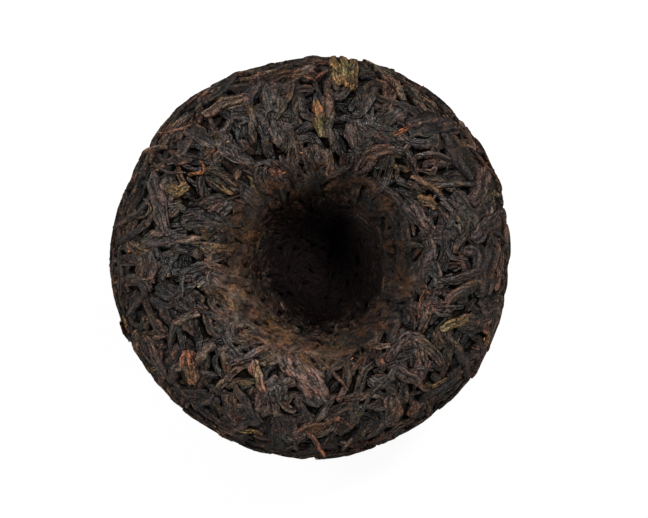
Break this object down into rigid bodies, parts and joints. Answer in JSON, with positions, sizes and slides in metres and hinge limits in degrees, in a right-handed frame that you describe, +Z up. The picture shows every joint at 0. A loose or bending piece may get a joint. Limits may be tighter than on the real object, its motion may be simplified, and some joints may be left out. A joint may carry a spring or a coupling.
{
  "type": "pressed tea nest",
  "caption": "Dome-shaped nest of pressed dark tea leaves with a deep round hollow in its mouth side, broken up and brewed as tea.",
  "frame": {"origin": "centre of the flat spot that the dome rests on", "axes": "+Z up, out of the hollow; +Y is the picture's up and +X its right"},
  "size_m": [0.0814, 0.0814, 0.0431],
  "materials": {
    "tea_leaves": "dry dark brown leaves, matt with a faint sheen, flecked with golden and rust tips"
  },
  "bodies": {
    "root": {"tuocha": "tea_leaves"}
  },
  "joints": []
}
